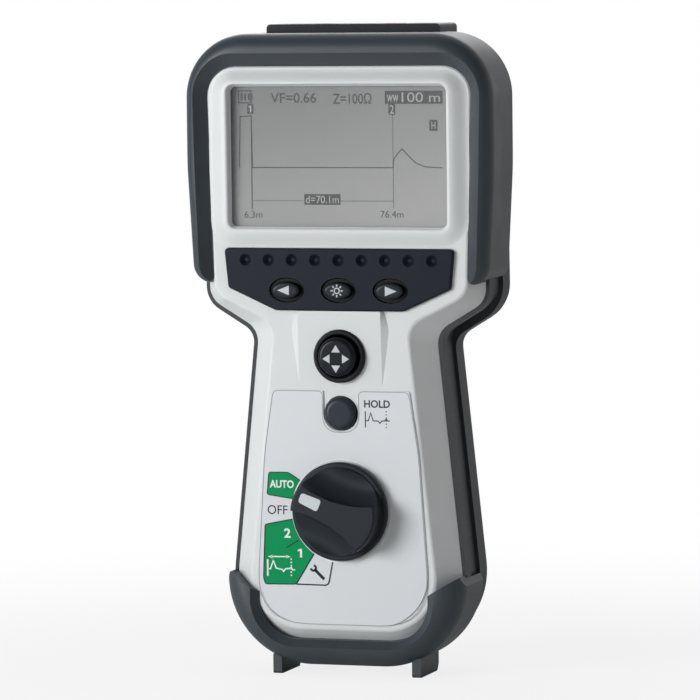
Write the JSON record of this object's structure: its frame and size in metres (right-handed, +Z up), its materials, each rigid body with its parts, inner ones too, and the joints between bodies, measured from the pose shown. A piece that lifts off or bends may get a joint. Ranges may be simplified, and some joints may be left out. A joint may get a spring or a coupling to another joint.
{
  "type": "hand-held time domain reflectometer",
  "caption": "Hand-held cable fault tester with a wide head, waisted grip, graphic display, oval keys, cursor pad, rotary selector, rubber bumpers and test sockets on top.",
  "frame": {"origin": "on the surface that the foot fins stand on, midway across the width and the depth", "axes": "+X to the user's right, +Y from the front to the back, +Z up towards the test sockets"},
  "size_m": [0.113, 0.051, 0.23],
  "materials": {
    "white_case": "fine satin moulding",
    "dark_case": "fine satin moulding",
    "bumper_rubber": "satin",
    "window_clear": "clear, smooth",
    "display_grey": "smooth",
    "panel_dark": "satin print",
    "key_black": "satin",
    "label_print": "satin print",
    "knob_black": "satin",
    "pointer_white": "satin",
    "board_green": "solder mask",
    "contact_brass": "polished",
    "screw_steel": "turned",
    "socket_red": "smooth",
    "cell_wrap": "film",
    "seal_rubber": "matt",
    "light_guide": "smooth"
  },
  "bodies": {
    "case": {"front_case": "white_case", "rear_case": "dark_case", "case_gasket": "seal_rubber", "case_screws": "screw_steel", "top_bumper": "bumper_rubber", "bottom_boot": "bumper_rubber", "display_window": "window_clear", "display_gasket": "seal_rubber", "lcd_panel": "display_grey", "backlight_panel": "light_guide", "lcd_frame": "knob_black", "softkey_panel": "panel_dark", "nav_collar": "knob_black", "nav_post": "knob_black", "label_plate": "label_print", "rotary_switch": "knob_black", "main_board": "board_green", "key_board": "board_green", "dome_switches": "screw_steel", "board_connector": "knob_black", "buzzer": "knob_black", "battery_tray": "dark_case", "battery_cells": "cell_wrap", "battery_contacts": "screw_steel", "battery_cover": "dark_case", "cover_seal": "seal_rubber", "cover_screws": "screw_steel", "terminal_block": "knob_black", "socket_contacts": "contact_brass", "socket_collar_black": "knob_black", "socket_collar_red": "socket_red", "stand_pin": "screw_steel"},
    "selector": {"selector_knob": "knob_black", "knob_pointer": "pointer_white", "knob_shaft": "screw_steel", "shaft_clip": "screw_steel"},
    "left_key": {"key_left": "key_black"},
    "backlight_key": {"key_backlight": "key_black"},
    "right_key": {"key_right": "key_black"},
    "hold": {"hold_button": "key_black"},
    "cursor_cross": {"nav_pivot": "knob_black"},
    "cursor_pad": {"nav_pad": "key_black"},
    "stand": {"tilt_stand": "dark_case"}
  },
  "joints": [
    {"name": "selector_turn", "type": "hinge", "parent": "case", "child": "selector", "pos_m": [0, -0.0137, 0.059], "axis": [0, -1, 0], "range_deg": [0, 90]},
    {"name": "left_key_press", "type": "slide", "parent": "case", "child": "left_key", "axis": [0, 1, 0], "range_m": [0, 0.0009], "stiffness_N_per_m": 2000},
    {"name": "backlight_key_press", "type": "slide", "parent": "case", "child": "backlight_key", "axis": [0, 1, 0], "range_m": [0, 0.0009], "stiffness_N_per_m": 2000},
    {"name": "right_key_press", "type": "slide", "parent": "case", "child": "right_key", "axis": [0, 1, 0], "range_m": [0, 0.0009], "stiffness_N_per_m": 2000},
    {"name": "hold_press", "type": "slide", "parent": "case", "child": "hold", "axis": [0, 1, 0], "range_m": [0, 0.0015], "stiffness_N_per_m": 1500},
    {"name": "cursor_up_down", "type": "hinge", "parent": "case", "child": "cursor_cross", "pos_m": [0, -0.0089, 0.1137], "axis": [1, 0, 0], "range_deg": [-4, 4], "stiffness_Nm_per_rad": 0.15},
    {"name": "cursor_left_right", "type": "hinge", "parent": "cursor_cross", "child": "cursor_pad", "pos_m": [0, -0.0089, 0.1137], "axis": [0, 0, 1], "range_deg": [-4, 4], "stiffness_Nm_per_rad": 0.15},
    {"name": "stand_fold", "type": "hinge", "parent": "case", "child": "stand", "pos_m": [0, 0.0235, 0.201], "axis": [1, 0, 0], "range_deg": [0, 60]}
  ]
}
